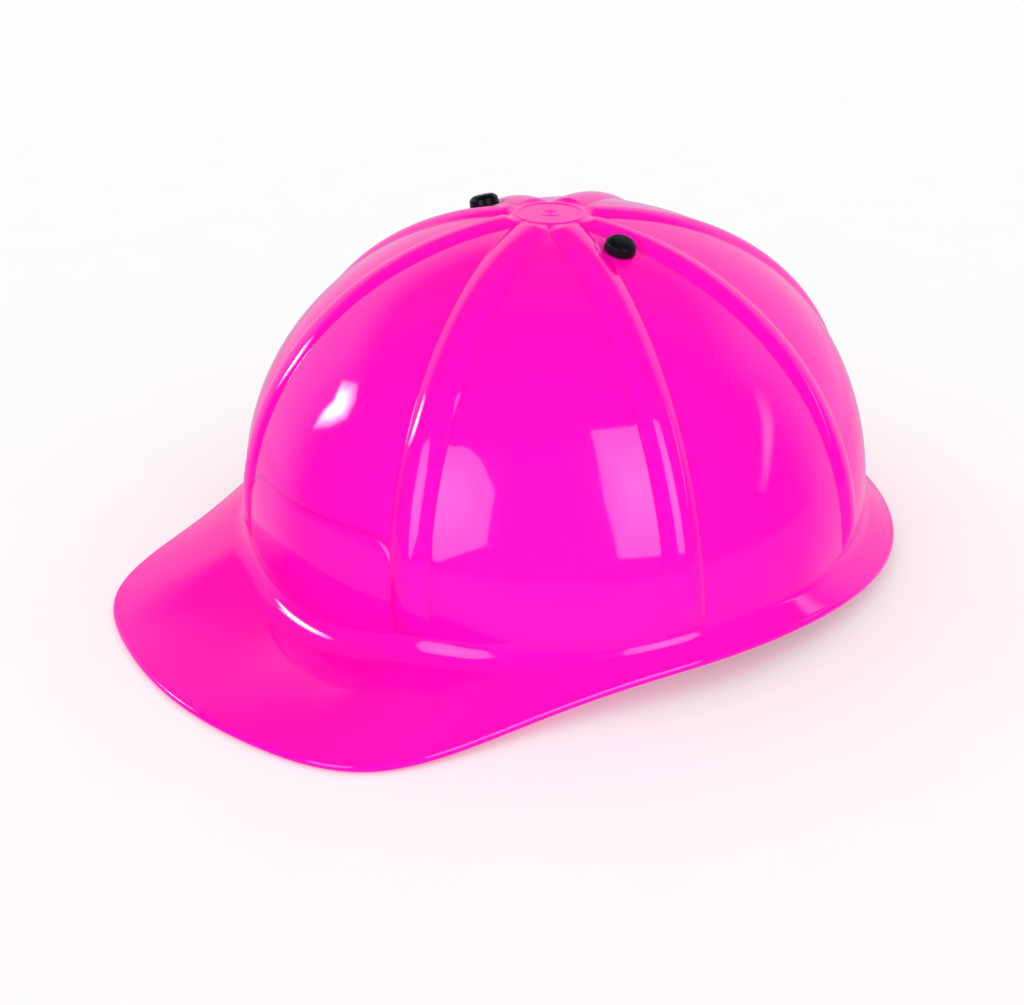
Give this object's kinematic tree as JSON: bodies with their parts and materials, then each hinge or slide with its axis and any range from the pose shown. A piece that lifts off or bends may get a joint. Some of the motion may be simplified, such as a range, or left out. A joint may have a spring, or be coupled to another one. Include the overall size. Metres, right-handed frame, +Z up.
{
  "type": "riding helmet",
  "caption": "Ribbed moulded shell with a peak, hung on a cradle and adjustable headband, with a swinging buckled chin strap.",
  "frame": {"origin": "centre of the bounding box at the rest plane, under the shell", "axes": "+Z up from the rest plane to the crown, -Y towards the peak (front), +X towards the wearer's left"},
  "size_m": [0.2188, 0.2846, 0.1174],
  "materials": {
    "shell_pink": "high gloss moulded plastic, hot pink",
    "stud_black": "semi-gloss moulded plastic, black",
    "cradle_white": "satin moulded plastic, natural white",
    "adjuster_black": "fine textured moulded plastic, black",
    "pad_grey": "knitted fabric over foam",
    "webbing_black": "woven nylon webbing",
    "rivet_steel": "satin plated"
  },
  "bodies": {
    "helmet": {"shell": "shell_pink", "crown_stud_left": "stud_black", "crown_stud_right": "stud_black", "stud_washer_left": "cradle_white", "stud_washer_right": "cradle_white", "cradle": "cradle_white", "crown_pad": "pad_grey", "headband": "cradle_white", "band_stud_front_left": "cradle_white", "band_stud_front_right": "cradle_white", "band_stud_rear_left": "cradle_white", "band_stud_rear_right": "cradle_white", "brow_pad": "pad_grey", "adjuster_base": "cradle_white", "adjuster_cover": "cradle_white", "nape_pad": "pad_grey", "strap_hanger_left": "cradle_white", "strap_hanger_right": "cradle_white", "hanger_rivet_left": "cradle_white", "hanger_rivet_right": "cradle_white", "strap_pivot_left": "rivet_steel", "strap_pivot_right": "rivet_steel"},
    "knob": {"adjuster_knob": "adjuster_black", "adjuster_pinion": "adjuster_black", "knob_screw": "rivet_steel"},
    "tail_left": {"adjust_tail_left": "adjuster_black"},
    "tail_right": {"adjust_tail_right": "adjuster_black"},
    "chin_left": {"strap_left": "webbing_black", "buckle_socket": "adjuster_black"},
    "chin_right": {"strap_right": "webbing_black", "chin_pad": "pad_grey"},
    "plug": {"buckle_plug": "adjuster_black"},
    "slider": {"strap_slider": "adjuster_black"}
  },
  "joints": [
    {"name": "knob_turn", "type": "hinge", "parent": "helmet", "child": "knob", "pos_m": [0, 0.11, 0.029], "axis": [0, 1, 0], "range_deg": [0, 150]},
    {"name": "tail_left_slide", "type": "hinge", "parent": "helmet", "child": "tail_left", "pos_m": [0, 0.0408, 0.029], "axis": [0, 0, 1], "range_deg": [0, 10]},
    {"name": "tail_right_slide", "type": "hinge", "parent": "helmet", "child": "tail_right", "pos_m": [0, 0.0408, 0.029], "axis": [0, 0, 1], "range_deg": [-10, 0]},
    {"name": "chin_right_swing", "type": "hinge", "parent": "helmet", "child": "chin_right", "pos_m": [-0.0815, 0.0013, 0.009], "axis": [1, 0, 0], "range_deg": [-115, 0]},
    {"name": "chin_left_swing", "type": "hinge", "parent": "helmet", "child": "chin_left", "pos_m": [0.0815, 0.0013, 0.009], "axis": [1, 0, 0], "range_deg": [-115, 0]},
    {"name": "buckle_release", "type": "slide", "parent": "chin_right", "child": "plug", "axis": [-0.5618, 0.8273, 0], "range_m": [0, 0.012]},
    {"name": "strap_adjust", "type": "slide", "parent": "chin_right", "child": "slider", "axis": [0, 1, 0], "range_m": [0, 0.012]}
  ],
  "couplings": [
    {"joint": "tail_left_slide", "follows": "knob_turn", "ratio": 0.06569},
    {"joint": "tail_right_slide", "follows": "knob_turn", "ratio": -0.06429},
    {"joint": "chin_left_swing", "follows": "chin_right_swing", "ratio": 1}
  ]
}
